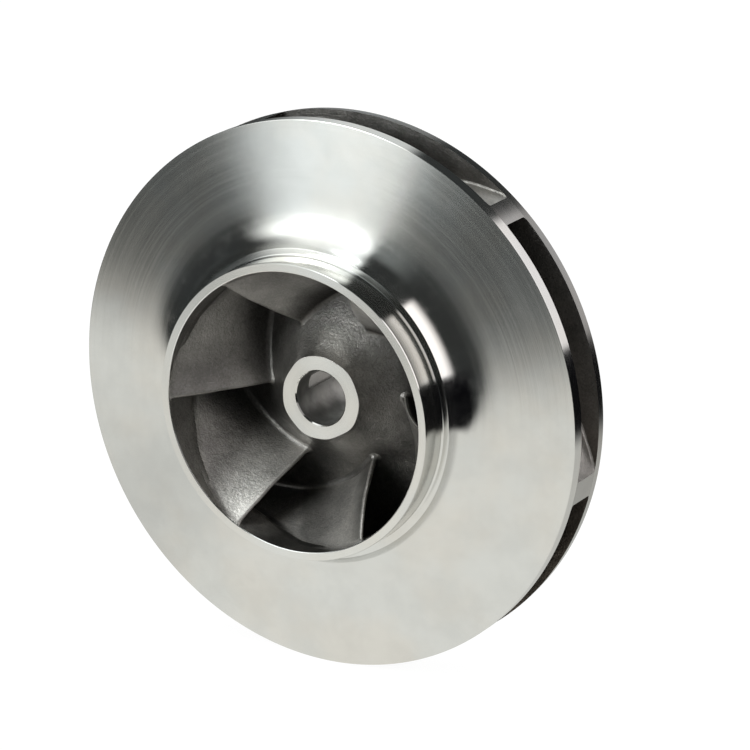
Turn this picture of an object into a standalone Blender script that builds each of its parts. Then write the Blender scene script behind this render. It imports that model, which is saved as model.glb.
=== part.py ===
"""Closed pump impeller, cast in one piece and turned outside.

It stands with its shaft axis level, along Y, and its suction eye faces -Y. The origin is on the axis,
at the hub's rear seat. Every shape is drawn about its own Z axis, and Z points out of the eye: heights
below are distances forward of the rear seat. An empty turns them all to lie along the shaft axis.
"""
import math

import bmesh
import bpy

MM = 0.001

# Driving sizes, in millimetres
RIM_RADIUS = 120.0
RIM_WIDTH = 26.5
REAR_RIM_BAND = 5.2
FRONT_RIM_BAND = 5.6
REAR_SHROUD_BACK = 10.0
FACE_SLOPE = 4.5
PASSAGE_SLOPE = 4.0
HUB_FRONT = 38.7
HUB_NOSE_RADIUS = 18.6
BORE_RADIUS = 12.0
BORE_CHAMFER = 0.5
BOSS_RADIUS = 27.0
BOSS_FILLET = 5.0
EYE_RADIUS = 61.0
EYE_FRONT = 62.5

# Suction neck: a land for the wear ring, a shoulder, and a flare down to the shroud's face
NECK_RADIUS = 64.7
NECK_FOOT = 49.5
SHOULDER_RADIUS = 67.9
SHOULDER_HEIGHT = 48.6
FLARE_RADIUS = 82.0

# Bends of the flow walls: where each leaves the axis's direction and where it meets its slope
HUB_BEND = ((22.0, 30.5), (38.0, 15.2), (62.0, 15.2))
EYE_BEND_START = 48.0
EYE_BEND_MIDDLE = 40.5
EYE_BEND_TURN = 67.0
EYE_BEND_RADIUS = 86.0

# The casting is divided into solids here, a small gap apart
HUB_SPLIT_RADIUS = 41.0
PART_GAP = 0.4

# Keyway, cut from the rear and blind towards the eye
KEYWAY_WIDTH = 8.0
KEYWAY_DEPTH = 3.3
KEYWAY_LENGTH = 28.5
KEYWAY_ANGLE = 165.0
CUTTER_OVERRUN = 2.0

# Vanes: angles run from +X towards +Z, seen from the eye, and shrink from the eye out to the rim
VANE_COUNT = 6
VANE_THICKNESS = 4.35
VANE_NOSE_THICKNESS = 2.4
VANE_NOSE_SHARE = 0.2
VANE_LEAD_ANGLE = 62.4
VANE_WRAP = 134.3
LEAD_HUB = (33.3, 24.2)
LEAD_EYE_HEIGHT = 61.1
LEAD_BOW = 2.6
LEAD_BOW_SHARE = 0.35

# How fast a vane leaves its leading edge along each wall, and the power that speeds it up to the rim
HUB_LINE = (0.40, 1.7)
EYE_LINE = (0.45, 2.1)

# Fineness of the solids
SHROUD_STEPS = 60
HUB_STEPS = 48
CURVE_STEPS = 8
VANE_STEPS = 18
VANE_ROWS = 4

FRONT_RIM_FACE = REAR_SHROUD_BACK + RIM_WIDTH
PASSAGE_REAR = REAR_SHROUD_BACK + REAR_RIM_BAND
PASSAGE_FRONT = FRONT_RIM_FACE - FRONT_RIM_BAND


def clear_scene():
    """Empty the scene of objects."""
    for obj in list(bpy.data.objects):
        bpy.data.objects.remove(obj, do_unlink=True)


def collection(name):
    """A new collection in the scene."""
    coll = bpy.data.collections.new(name)
    bpy.context.scene.collection.children.link(coll)
    return coll


def steel(name, color, roughness):
    """A stainless steel finish."""
    mat = bpy.data.materials.new(name)
    mat.use_nodes = True
    shader = mat.node_tree.nodes["Principled BSDF"]
    shader.inputs["Base Color"].default_value = (*color, 1.0)
    shader.inputs["Metallic"].default_value = 1.0
    shader.inputs["Roughness"].default_value = roughness
    return mat


def bezier(p0, p1, p2, p3, steps):
    """Points of a cubic curve, its ends included."""
    points = []
    for i in range(steps + 1):
        t = i / steps
        s = 1.0 - t
        shares = (s ** 3, 3 * s * s * t, 3 * s * t * t, t ** 3)
        points.append(tuple(sum(w * p[k] for w, p in zip(shares, (p0, p1, p2, p3))) for k in (0, 1)))
    return points


def arc(centre, radius, start, end, steps):
    """Points of a round fillet, from one angle to another in degrees."""
    angles = [math.radians(start + (end - start) * i / steps) for i in range(steps + 1)]
    return [(centre[0] + radius * math.cos(a), centre[1] + radius * math.sin(a)) for a in angles]


def on_cone(rim_height, slope, radius):
    """A point of a shallow cone that rises from its height at the rim towards the axis."""
    return (radius, rim_height + (RIM_RADIUS - radius) * math.tan(math.radians(slope)))


def height_on(wall, radius):
    """Height of a wall line at a radius."""
    for (r0, h0), (r1, h1) in zip(wall, wall[1:]):
        if r0 <= radius <= r1:
            return h0 + (h1 - h0) * (radius - r0) / (r1 - r0)
    raise ValueError("the radius is off the wall")


def hub_wall():
    """Flow side of hub and rear shroud, from the nose out to the rim, as (radius, height)."""
    curve = bezier((HUB_NOSE_RADIUS, HUB_FRONT), *HUB_BEND, 2 * CURVE_STEPS)
    return curve + [(RIM_RADIUS, PASSAGE_REAR)]


def eye_wall():
    """Flow side of the front shroud, from the eye's mouth out to the rim, as (radius, height)."""
    curve = bezier((EYE_RADIUS, EYE_BEND_START), (EYE_RADIUS, EYE_BEND_MIDDLE),
                   on_cone(PASSAGE_FRONT, PASSAGE_SLOPE, EYE_BEND_TURN),
                   on_cone(PASSAGE_FRONT, PASSAGE_SLOPE, EYE_BEND_RADIUS), CURVE_STEPS)
    return [(EYE_RADIUS, EYE_FRONT)] + curve + [(RIM_RADIUS, PASSAGE_FRONT)]


def shroud_face():
    """Turned side of the front shroud, from the eye's mouth out to the rim, as (radius, height)."""
    flare = bezier((SHOULDER_RADIUS, SHOULDER_HEIGHT), (SHOULDER_RADIUS + 0.8, SHOULDER_HEIGHT - 5.4),
                   on_cone(FRONT_RIM_FACE, FACE_SLOPE, SHOULDER_RADIUS + 4.6),
                   on_cone(FRONT_RIM_FACE, FACE_SLOPE, FLARE_RADIUS), CURVE_STEPS)
    return [(NECK_RADIUS, EYE_FRONT), (NECK_RADIUS, NECK_FOOT)] + flare + [(RIM_RADIUS, FRONT_RIM_FACE)]


def turned(name, outline, steps, parts, axis, mat):
    """A closed outline of (radius, height), its outer side running downwards, turned about the axis."""
    mesh = bpy.data.meshes.new(name)
    verts = [(r * MM, 0.0, h * MM) for r, h in outline]
    edges = [(i, (i + 1) % len(verts)) for i in range(len(verts))]
    mesh.from_pydata(verts, edges, [])
    mesh.materials.append(mat)
    obj = bpy.data.objects.new(name, mesh)
    parts.objects.link(obj)
    obj.parent = axis
    screw = obj.modifiers.new("Turn", "SCREW")
    screw.steps = steps
    screw.render_steps = steps
    screw.use_merge_vertices = True
    screw.merge_threshold = 0.00005
    screw.use_smooth_shade = True
    return obj


def make_front_shroud(parts, axis, mat):
    """The front shroud with its suction neck."""
    outline = shroud_face() + list(reversed(eye_wall()))
    return turned("front_shroud", outline, SHROUD_STEPS, parts, axis, mat)


def make_rear_shroud(parts, axis, mat):
    """The rear shroud, a disc round the hub."""
    inner = HUB_SPLIT_RADIUS + PART_GAP
    wall = [p for p in hub_wall() if p[0] > inner]
    outline = ([(inner, height_on(hub_wall(), inner))] + wall
               + [(RIM_RADIUS, REAR_SHROUD_BACK), (inner, REAR_SHROUD_BACK)])
    return turned("rear_shroud", outline, SHROUD_STEPS, parts, axis, mat)


def make_keyway_cutter(cutters, axis):
    """A bar along the bore that cuts the keyway."""
    reach = BORE_RADIUS + KEYWAY_DEPTH
    length = KEYWAY_LENGTH + CUTTER_OVERRUN
    mesh = bpy.data.meshes.new("keyway_cutter")
    bm = bmesh.new()
    bmesh.ops.create_cube(bm, size=MM)
    bmesh.ops.scale(bm, vec=(reach, KEYWAY_WIDTH, length), verts=bm.verts)
    bmesh.ops.translate(bm, vec=(reach / 2 * MM, 0.0, (length / 2 - CUTTER_OVERRUN) * MM), verts=bm.verts)
    bm.to_mesh(mesh)
    bm.free()
    cutter = bpy.data.objects.new("keyway_cutter", mesh)
    cutters.objects.link(cutter)
    cutter.parent = axis
    cutter.rotation_euler = (0.0, 0.0, math.radians(KEYWAY_ANGLE))
    cutter.hide_render = True
    cutter.display_type = "WIRE"
    return cutter


def make_hub(parts, cutters, axis, mat):
    """The hub: nose, flow cone, rear boss and keyed bore."""
    wall = [p for p in hub_wall() if p[0] < HUB_SPLIT_RADIUS]
    side = [(HUB_SPLIT_RADIUS, height_on(hub_wall(), HUB_SPLIT_RADIUS)), (HUB_SPLIT_RADIUS, REAR_SHROUD_BACK)]
    foot = arc((BOSS_RADIUS + BOSS_FILLET, REAR_SHROUD_BACK - BOSS_FILLET), BOSS_FILLET, 90, 180, 4)
    bore = [(BORE_RADIUS + BORE_CHAMFER, 0.0), (BORE_RADIUS, BORE_CHAMFER),
            (BORE_RADIUS, HUB_FRONT - BORE_CHAMFER), (BORE_RADIUS + BORE_CHAMFER, HUB_FRONT)]
    outline = wall + side + foot + [(BOSS_RADIUS, 0.0)] + bore
    hub = turned("hub", outline, HUB_STEPS, parts, axis, mat)
    cut = hub.modifiers.new("Keyway", "BOOLEAN")
    cut.operation = "DIFFERENCE"
    cut.solver = "EXACT"
    cut.object = make_keyway_cutter(cutters, axis)
    return hub


def walk(line, share):
    """The point a share of the way along a line of (radius, height) points."""
    lengths = [math.dist(a, b) for a, b in zip(line, line[1:])]
    left = share * sum(lengths)
    for a, b, length in zip(line, line[1:], lengths):
        if left <= length:
            t = left / length
            return (a[0] + (b[0] - a[0]) * t, a[1] + (b[1] - a[1]) * t)
        left -= length
    return line[-1]


def passed(turn, line):
    """Share of a wall line that a vane has passed at a share of its turn."""
    start, power = line
    return start * turn + (1.0 - start) * turn ** power


def vane_middle(turn, row):
    """A point of the vane's middle surface, as (radius, height), clear of both walls."""
    hub_line = [LEAD_HUB] + [p for p in hub_wall() if p[0] > LEAD_HUB[0] + 0.5]
    eye_line = [(EYE_RADIUS, LEAD_EYE_HEIGHT)] + eye_wall()[1:]
    foot = walk(hub_line, passed(turn, HUB_LINE))
    head = walk(eye_line, passed(turn, EYE_LINE))
    inset = 1.5 * PART_GAP / math.dist(foot, head)
    share = inset + (1.0 - 2.0 * inset) * row
    bow = LEAD_BOW * 4.0 * row * (1.0 - row) * max(0.0, 1.0 - turn / LEAD_BOW_SHARE) ** 2
    return (foot[0] + (head[0] - foot[0]) * share, foot[1] + (head[1] - foot[1]) * share + bow)


def vane_point(turn, row, side):
    """A point of one face of the vane, side -1 or 1, about the Z axis."""
    radius, height = vane_middle(turn, row)
    before, after = max(turn - 0.002, 0.0), min(turn + 0.002, 1.0)
    run = math.dist(vane_middle(before, row), vane_middle(after, row))
    swept = math.radians(VANE_WRAP) * radius * (after - before)
    slant = run / math.hypot(run, swept)
    grown = min(turn / VANE_NOSE_SHARE, 1.0)
    thickness = VANE_NOSE_THICKNESS + (VANE_THICKNESS - VANE_NOSE_THICKNESS) * grown
    angle = math.radians(VANE_LEAD_ANGLE - VANE_WRAP * turn) + side * thickness / 2 / (radius * slant)
    return (radius * math.cos(angle) * MM, radius * math.sin(angle) * MM, height * MM)


def vane_mesh():
    """One vane as a loft: two twisted faces closed by their edges, with its tail on the rim's cylinder."""
    bm = bmesh.new()
    turns = [i / VANE_STEPS for i in range(VANE_STEPS + 1)]
    rows = [j / VANE_ROWS for j in range(VANE_ROWS + 1)]
    low, high = [[[bm.verts.new(vane_point(turn, row, side)) for row in rows] for turn in turns]
                 for side in (-1, 1)]
    for grid in (low, high):
        for i in range(VANE_STEPS):
            for j in range(VANE_ROWS):
                bm.faces.new((grid[i][j], grid[i + 1][j], grid[i + 1][j + 1], grid[i][j + 1]))
    for j in (0, VANE_ROWS):
        for i in range(VANE_STEPS):
            bm.faces.new((low[i][j], low[i + 1][j], high[i + 1][j], high[i][j]))
    for i in (0, VANE_STEPS):
        for j in range(VANE_ROWS):
            bm.faces.new((low[i][j], low[i][j + 1], high[i][j + 1], high[i][j]))
    bmesh.ops.recalc_face_normals(bm, faces=bm.faces)
    bmesh.ops.triangulate(bm, faces=bm.faces)
    mesh = bpy.data.meshes.new("vane")
    bm.to_mesh(mesh)
    bm.free()
    return mesh


def make_vanes(parts, axis, mat):
    """The backward-swept vanes, on one shared mesh."""
    mesh = vane_mesh()
    mesh.materials.append(mat)
    for k in range(VANE_COUNT):
        vane = bpy.data.objects.new(f"vane_{k + 1}", mesh)
        parts.objects.link(vane)
        vane.parent = axis
        vane.rotation_euler = (0.0, 0.0, math.radians(360.0 / VANE_COUNT * k))


def main():
    """Build the impeller."""
    clear_scene()
    parts = collection("pump_impeller")
    cutters = collection("cutters")
    axis = bpy.data.objects.new("shaft_axis", None)
    parts.objects.link(axis)
    axis.rotation_euler = (math.radians(90.0), 0.0, 0.0)
    turned_steel = steel("turned_steel", (0.62, 0.62, 0.60), 0.28)
    cast_steel = steel("cast_steel", (0.27, 0.265, 0.255), 0.5)
    make_front_shroud(parts, axis, turned_steel)
    make_rear_shroud(parts, axis, turned_steel)
    make_hub(parts, cutters, axis, cast_steel)
    make_vanes(parts, axis, cast_steel)


main()
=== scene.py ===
import math
from collections import namedtuple

import bmesh
import bpy
import numpy as np
from mathutils import Matrix, Vector, noise


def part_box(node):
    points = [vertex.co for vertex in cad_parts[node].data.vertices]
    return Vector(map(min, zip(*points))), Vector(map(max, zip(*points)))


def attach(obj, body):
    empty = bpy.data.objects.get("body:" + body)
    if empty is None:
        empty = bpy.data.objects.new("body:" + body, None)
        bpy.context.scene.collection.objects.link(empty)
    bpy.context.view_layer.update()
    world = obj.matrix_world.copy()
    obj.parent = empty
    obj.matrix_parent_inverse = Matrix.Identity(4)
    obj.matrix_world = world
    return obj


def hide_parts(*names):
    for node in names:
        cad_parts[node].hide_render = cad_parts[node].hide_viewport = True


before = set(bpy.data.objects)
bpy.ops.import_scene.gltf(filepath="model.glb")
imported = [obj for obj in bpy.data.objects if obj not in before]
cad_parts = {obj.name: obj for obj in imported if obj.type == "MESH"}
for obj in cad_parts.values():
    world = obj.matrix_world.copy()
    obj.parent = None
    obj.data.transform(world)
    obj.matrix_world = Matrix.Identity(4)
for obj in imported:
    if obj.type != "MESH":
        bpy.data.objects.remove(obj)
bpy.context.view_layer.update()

bl_info = {
    "name": "Pump Impeller",
    "version": (1, 0, 0),
    "blender": (4, 5, 0),
    "location": "3D View > Sidebar > Impeller",
    "description": "A closed pump impeller, cast in steel and turned outside, with its studio",
    "category": "Add Mesh",
}

MM = 0.001
DEGREES = 180.0 / math.pi
TINY = 1e-9

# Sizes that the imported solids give, in millimetres; heights run forward from the hub's rear seat
FRONT_BOX = [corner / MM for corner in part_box("front_shroud")]
REAR_BOX = [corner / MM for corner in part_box("rear_shroud")]
HUB_BOX = [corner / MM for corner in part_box("hub")]
RIM_RADIUS = round(FRONT_BOX[1].x, 3)
EYE_FRONT = round(-FRONT_BOX[0].y, 3)
PASSAGE_FRONT = round(-FRONT_BOX[1].y, 3)
REAR_SHROUD_BACK = round(-REAR_BOX[1].y, 3)
HUB_FRONT = round(-HUB_BOX[0].y, 3)
FLOOR_HEIGHT = -RIM_RADIUS * MM

# Sizes of the casting, as in the solids
FRONT_RIM_FACE = 36.5
PASSAGE_REAR = 15.2
FACE_SLOPE = 4.5
PASSAGE_SLOPE = 4.0
HUB_NOSE_RADIUS = 18.6
BORE_RADIUS = 12.0
BORE_CHAMFER = 0.5
BOSS_RADIUS = 27.0
BOSS_FILLET = 5.0
EYE_RADIUS = 61.0
NECK_RADIUS = 64.7
HUB_BEND = ((22.0, 30.5), (38.0, 15.2), (62.0, 15.2))
EYE_BEND_START = 48.0
EYE_BEND_MIDDLE = 40.5
EYE_BEND_TURN = 67.0
EYE_BEND_RADIUS = 86.0
KEYWAY_WIDTH = 8.0
KEYWAY_DEPTH = 3.3
KEYWAY_LENGTH = 28.5
KEYWAY_ANGLE = 165.0

# Neck, shoulder and flare, finer than in the solids
NECK_FOOT = 49.1
SHOULDER_RADIUS = 67.9
SHOULDER_HEIGHT = 48.9
FLARE_RADIUS = 88.0
FLARE_START_SLOPE = 68.0
FLARE_START_PULL = 7.5
FLARE_END_PULL = 13.0

# Turned edges: how far the corners of the neck's mouth lie in and back, and how much corners are rounded
MOUTH_EDGE = ((0.2, 0.08), (0.0, 0.52))
MOUTH_EASE = 0.06
MOUTH_STRAIGHT = 2.0
FOOT_STRAIGHT = 3.0
NECK_FOOT_EASE = 0.9
SHOULDER_EASE = 0.35
RIM_EASE = 0.3
REAR_RIM_TAPER = 0.5
REAR_FACE_START = 1.5
NOSE_EASE = 0.25
BOSS_EASE = 0.6
EASING_SHARES = (0.0, 1 / 3, 2 / 3, 1.0)

# The turned ring on the hub's nose wanders by waves: size, count round the ring and start of each
NOSE_WANDER = ((0.45, 2, 0.6), (0.35, 3, 2.1), (0.25, 5, 4.0), (0.18, 9, 1.0))
NOSE_WANDER_REACH = 6.0

# Slow waves of the cast faces: how far across, and the place in the noise that they are read from
CAST_WAVE = (13.0, 5.0)
CAST_RIPPLE = (5.0, 9.0)
RIPPLE_SHARE = 0.5
WAVE_FADE = 3.0
VANE_WAVE = (9.0, 3.0)
VANE_WAVE_SHARE = 1.6
VANE_WAVE_FADE = 6.0

# Vanes, as in the solids; a line is its straight share of the way outward, and the power of the rest
VANE_COUNT = 6
VANE_THICKNESS = 4.35
VANE_NOSE_SHARE = 0.2
VANE_LEAD_ANGLE = 62.4
VANE_WRAP = 134.3
LEAD_HUB_RADIUS = 33.3
LEAD_EYE_DEPTH = 1.4
LEAD_BOW = 2.6
LEAD_BOW_SHARE = 0.35
HUB_LINE = (0.40, 1.7)
EYE_LINE = (0.45, 2.1)

# Vane detail: shares of the vane's turn over which its form changes, and how it meets its neighbours
FILLET_FADE = (0.1, 0.8)
SHEAR_FADE = (0.02, 0.16)
LEAST_SLANT = 0.35
WALL_DIP = 0.3
TAIL_DIP = 0.1
MOUTH_CLEARANCE = 0.3
FOOT_START = 0.25
# Beyond this radius, in millimetres, the vanes' sides take a paler copy of the cast steel
PALER_RADIUS = 108.0

# Fineness of the meshes
WALL_SAMPLES = 200
FLARE_STEPS = 32
FACE_STEPS = 12
REAR_FACE_STEPS = 8
BOSS_FILLET_TURN = 10
FILLET_STEPS = (0.02, 0.07, 0.15, 0.26, 0.4, 0.58, 0.8, 1.05)
MIDDLE_ROWS = 9
FIRST_CLEAR_ROW = len(FILLET_STEPS) + 1
NOSE_TURN = 0.1
NOSE_TURN_POINTS = 12
TURN_POINTS = 78
NOSE_STEPS = 10
TAIL_COLUMNS = 6
SLANT_STEP = 0.01
TURN_STEP = 0.002
TURNED_SMOOTH_LIMIT = 12.0
VANE_SMOOTH_LIMIT = 38.0
WELD_DIGITS = 8

# The keyway's mesh: columns across it, share of each side, rings counted from the last, and bright columns
KEYWAY_POINTS = 17
KEYWAY_SIDE_SHARE = 0.25
KEYED_RINGS = (-6, -5, -4)
KEYWAY_BRIGHT = slice(9, 16)

# Finishes, in the order of each piece's material slots
FINISH_NAMES = ("turned steel", "cast steel", "turned ring", "turned rim", "bored steel", "dressed steel")
TURNED, CAST, RING, RIM, BORE, PALER = range(6)

# How each turned finish differs from the turned steel's colour and roughness
Turning = namedtuple("Turning", "tone roughening anisotropy groove mottle polish")
TURNINGS = {
    TURNED: Turning(1.0, 0.0, 0.8, 0.3, 0.035, 0.8),
    RING: Turning(1.09, 0.06, 0.5, 0.2, 0.02, 1.0),
    RIM: Turning(0.62, 0.06, 0.5, 0.5, 0.05, 1.0),
    BORE: Turning(0.62, 0.48, 0.0, 1.0, 0.4, 1.0),
}
# A paler copy of the cast steel, without its painted light and shade, for the vanes' last stretch before the
# rim
PALER_TONE = 1.3

# Turned steel: a noise by its scale, detail and roughness; a soft step by where it starts and ends
DRIFT_NOISE = (40.0, 1.0, 0.5)
DRIFT = 0.0006
FINE_GROOVES = (2400.0, 2.0, 0.6)
FINE_SHARE = 0.5
COARSE_GROOVES = (420.0, 2.0, 0.5)
QUARTER_TURN = 0.25
GROOVE_DEPTH = 0.00005
GROOVE_ROUGHNESS = 0.08
STAIN_NOISE = (55.0, 4.0, 0.6)
STAIN_STEP = (0.3, 0.7)
TINT_NOISE = (24.0, 3.0, 0.55)
TINT_STEP = (0.35, 0.65)
TINT_SHIFT = (0.4, 0.1, 0.7)
WARM = (1.0, 0.985, 0.955, 1.0)
COOL = (0.985, 1.0, 1.0, 1.0)
POLISHED_RADIUS = (0.083, 0.074)
SMUDGE_NOISE = (110.0, 7.0, 0.75)
SMUDGE_STEP = (0.44, 0.72)
SMUDGE_RADIUS = (0.066, 0.069)
SMUDGE_FRONT = (-0.03, -0.034)
SMUDGE_ROUGHNESS = 0.13

# Cast steel: a noise by its scale, detail and roughness
GRAIN_NOISE = (1000.0, 3.0, 0.75)
CLOT_NOISE = (320.0, 2.0, 0.5)
PATCH_NOISE = (70.0, 4.0, 0.6)
PATCH_SHARE = 0.55
MOTTLE_STEP = (0.32, 0.68)
MOTTLE = 0.3
CLOT_ROUGHNESS = 0.16
CLOT_RELIEF = 0.8
BLAST_DEPTH = 0.00024
BLAST_STRENGTH = 0.9
CAST_METALLIC = 0.93

# Painted light and shade on the cast steel: tones by which way a face looks, then painted shade by its place
# in metres; a tone step ends with its two tones
UPWARD_TONE = (-0.3, 0.75, 0.64, 1.25)
LEVEL_TONE = (0.93, 0.985, 1.0, 0.25)
# painted light on faces that look up and to the left
LEFT_UPWARD = (0.5, 0.62)
LEFT_RIGHTWARD = (-0.3, -0.6)
LEFT_TONE = 2.4
# painted light on faces that look up and ahead, turned little to either side
PAINTED_LIGHT_UPWARD = (0.64, 0.74)
PAINTED_LIGHT_RIGHTWARD = ((0.5, 0.35), (-0.2, -0.1))
PAINTED_LIGHT_TONE = 1.7
# painted shade deep in the passages, towards the rear wall, weaker low down
DEEP_RADIUS = ((0.026, 0.038), (0.086, 0.076))
DEEP_BACK = (-0.04, -0.023)
DEEP_HEIGHT = (-0.035, -0.02, 0.2, 1.0)
DEEP_TONE = 0.38
# painted shade, darker and a little warmer, low down in the outer passages
LOW_RADIUS = (0.08, 0.1)
LOW_HEIGHT = (0.03, -0.03)
LOW_TINT = (0.42, 0.38, 0.34)

# The camera: where it looks from, and how far its middle lies from the front rim's centre
CAMERA_AZIMUTH = 30.99
CAMERA_HEIGHT = 18.15
CAMERA_DISTANCE = 1.537
CAMERA_SENSOR = 36.0
CAMERA_LENS = 174.0
CAMERA_AIM = (0.014375, 0.005975)
CAMERA_CLIP = (0.05, 50.0)

# The room's lights by clock angle and slope, in degrees; a step ends with its two results if not 0 and 1
HAZE_CLOCK = ((50.0, 64.0), (90.0, 80.0))
HAZE_SLOPE = ((3.0, 12.0), (42.0, 22.0))
DARK_SLOPE = (6.0, 12.0)
DARK_LIFT = 2.0
SOFTBOX_RIGHT_EDGE = (67.8, 72.4)
SOFTBOX_LEFT_EDGE = ((5.0, 109.3), (10.0, 108.5), (20.0, 110.0), (35.0, 107.0), (50.0, 102.0), (75.0, 99.0),
                     (90.0, 96.5))
SOFTBOX_LEFT_BLUR = (10.0, 60.0, 9.7, 12.0)
SOFTBOX_POWER = ((0.0, 0.89), (5.0, 1.33), (10.0, 1.4), (18.0, 2.2), (26.0, 2.8), (34.0, 2.6), (42.0, 1.8),
                 (55.0, 1.5), (70.0, 1.15), (90.0, 1.08), (93.0, 0.9), (96.0, 0.25))
CORE_CLOCK = ((74.0, 80.0), (98.0, 90.0))
CORE_POWER = ((13.0, 0.0), (18.0, 8.0), (27.0, 8.0), (32.0, 0.0))
CORNER_CLOCK = (84.0, 76.0)
CORNER_POWER = ((53.0, 0.0), (58.0, 2.2), (63.0, 2.2), (67.0, 0.0))
PANEL_CLOCK = ((17.5, 19.5), (48.9, 46.2))
PANEL_SLOPE = (38.0, 62.0)
PANEL_POWER = ((68.0, 1.9), (90.0, 1.42), (93.0, 1.1), (97.0, 0.6))
REAR_SLOPE = (101.0, 112.0)
GAP_CLOCK = (19.0, 17.0)
GAP_SLOPE = (8.0, 26.0)
GAP_AZIMUTH = (-60.0, -20.0)
TABLE_POWER = ((0.0, 1.02), (180.0, 1.03), (215.0, 0.83), (245.0, 1.06), (290.0, 1.06), (330.0, 1.06),
               (360.0, 1.02))
TABLE_SLOPE = (50.0, 62.0, 1.0, 0.66)
HORIZON = ((-40.0, -14.6), (-20.0, -15.3), (0.0, -15.9), (12.0, -17.0), (20.0, -17.9), (33.0, -19.1),
           (45.0, -19.5), (72.0, -19.5), (95.0, -18.5))
HORIZON_BLUR = 2.3

# The room's colours
WHITE = (1.0, 1.0, 1.0, 1.0)
UNLIT_TINT = (0.95, 1.03, 1.03)
SOFTBOX_TINT = (0.965, 1.0, 1.0)
PANEL_TINT = (1.0, 0.965, 0.97)
TABLE_TINT = (1.0, 0.992, 0.95)
GAP_COLOR = (0.004, 0.004, 0.005, 1.0)

# The table as the camera sees it
TABLE_RADIUS = 3.0
TABLE_SIDES = 64
TABLE_MATT = (0.08, 0.08, 0.08, 1.0)
TABLE_GLOW = (0.96, 0.96, 0.96, 1.0)


class ImpellerSizes(bpy.types.PropertyGroup):
    """Sizes of the detail that the solids leave out."""

    columns: bpy.props.IntProperty(
        name="Columns", description="Faces round a turned surface", default=360, min=48)
    edge_break: bpy.props.FloatProperty(
        name="Edge break", description="Width of the broken edges of turned faces",
        default=0.0004, unit="LENGTH")
    hub_fillet: bpy.props.FloatProperty(
        name="Fillet at hub", description="Radius of the fillet between vane and hub at the eye",
        default=0.0022, unit="LENGTH")
    eye_fillet: bpy.props.FloatProperty(
        name="Fillet at eye", description="Radius of the fillet between vane and front shroud at the eye",
        default=0.0016, unit="LENGTH")
    outlet_fillet: bpy.props.FloatProperty(
        name="Fillet at outlet", description="Radius of the vanes' fillets at the rim",
        default=0.0011, unit="LENGTH")
    nose_thickness: bpy.props.FloatProperty(
        name="Nose thickness", description="Thickness of a vane at its rounded leading edge",
        default=0.002, unit="LENGTH")
    cast_waves: bpy.props.FloatProperty(
        name="Cast waves", description="Height of the slow waves in the cast faces",
        default=0.00022, unit="LENGTH")
    nose_ring_wander: bpy.props.FloatProperty(
        name="Nose ring wander", description="How far the edge of the hub's turned ring leaves a circle",
        default=0.0007, unit="LENGTH")


class SteelFinish(bpy.types.PropertyGroup):
    """Colours and roughness of the steel."""

    turned_color: bpy.props.FloatVectorProperty(
        name="Turned steel", description="Colour of the turned faces", subtype="COLOR",
        size=3, min=0.0, max=1.0, default=(0.60, 0.60, 0.585))
    turned_roughness: bpy.props.FloatProperty(
        name="Turned roughness", description="Roughness of the turned faces", default=0.14,
        min=0.0, max=1.0)
    cast_color: bpy.props.FloatVectorProperty(
        name="Cast steel", description="Colour of the cast faces", subtype="COLOR",
        size=3, min=0.0, max=1.0, default=(0.312, 0.301, 0.283))
    cast_roughness: bpy.props.FloatProperty(
        name="Cast roughness", description="Roughness of the cast faces", default=0.37,
        min=0.0, max=1.0)


class StudioLight(bpy.types.PropertyGroup):
    """Strengths of the studio's lights."""

    table: bpy.props.FloatProperty(
        name="Table", description="Light from the white table, below the horizon", default=1.0)
    overhead: bpy.props.FloatProperty(
        name="Overhead", description="Strength of the overhead softbox", default=1.0)
    side: bpy.props.FloatProperty(
        name="Side", description="Strength of the panel on the right", default=1.0)
    rear: bpy.props.FloatProperty(
        name="Rear", description="Strength of the soft light behind the part", default=0.7)
    haze: bpy.props.FloatProperty(
        name="Haze", description="Faint light right of the overhead softbox", default=0.2)
    dark: bpy.props.FloatProperty(
        name="Dark", description="Light from the unlit parts of the room", default=0.045)


def unit(vector):
    """A vector of length one."""
    return vector / np.linalg.norm(vector)


def bezier(p0, p1, p2, p3, steps):
    """Points of a cubic curve, its ends included."""
    t = np.linspace(0.0, 1.0, steps + 1)[:, None]
    s = 1.0 - t
    ends = [np.array(p) for p in (p0, p1, p2, p3)]
    return s ** 3 * ends[0] + 3 * s * s * t * ends[1] + 3 * s * t * t * ends[2] + t ** 3 * ends[3]


def straight(start, end, steps):
    """Points of a line, its ends included."""
    t = np.linspace(0.0, 1.0, steps + 1)[:, None]
    return np.array(start) * (1.0 - t) + np.array(end) * t


def on_cone(rim_height, slope, radius):
    """A point of a shallow cone that rises from its height at the rim towards the axis."""
    return (radius, rim_height + (RIM_RADIUS - radius) * math.tan(math.radians(slope)))


def hub_wall(steps=48):
    """Flow side of hub and rear shroud, from the nose out to the rim, as (radius, height)."""
    curve = bezier((HUB_NOSE_RADIUS, HUB_FRONT), *HUB_BEND, steps)
    return np.vstack([curve, straight(HUB_BEND[2], (RIM_RADIUS, PASSAGE_REAR), steps // 2)[1:]])


def eye_wall(steps=32):
    """Flow side of the front shroud, from the eye's mouth out to the rim, as (radius, height)."""
    mouth = straight((EYE_RADIUS, EYE_FRONT), (EYE_RADIUS, EYE_BEND_START), steps // 2)
    end = on_cone(PASSAGE_FRONT, PASSAGE_SLOPE, EYE_BEND_RADIUS)
    bend = bezier((EYE_RADIUS, EYE_BEND_START), (EYE_RADIUS, EYE_BEND_MIDDLE),
                  on_cone(PASSAGE_FRONT, PASSAGE_SLOPE, EYE_BEND_TURN), end, steps)
    run = straight(end, (RIM_RADIUS, PASSAGE_FRONT), steps // 2)
    return np.vstack([mouth, bend[1:], run[1:]])


def path(points, finish, easing=0.0):
    """Corners of an outline: (radius, height, easing of the corner, finish of the stretch that follows)."""
    return [(r, h, easing, finish) for r, h in points]


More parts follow.
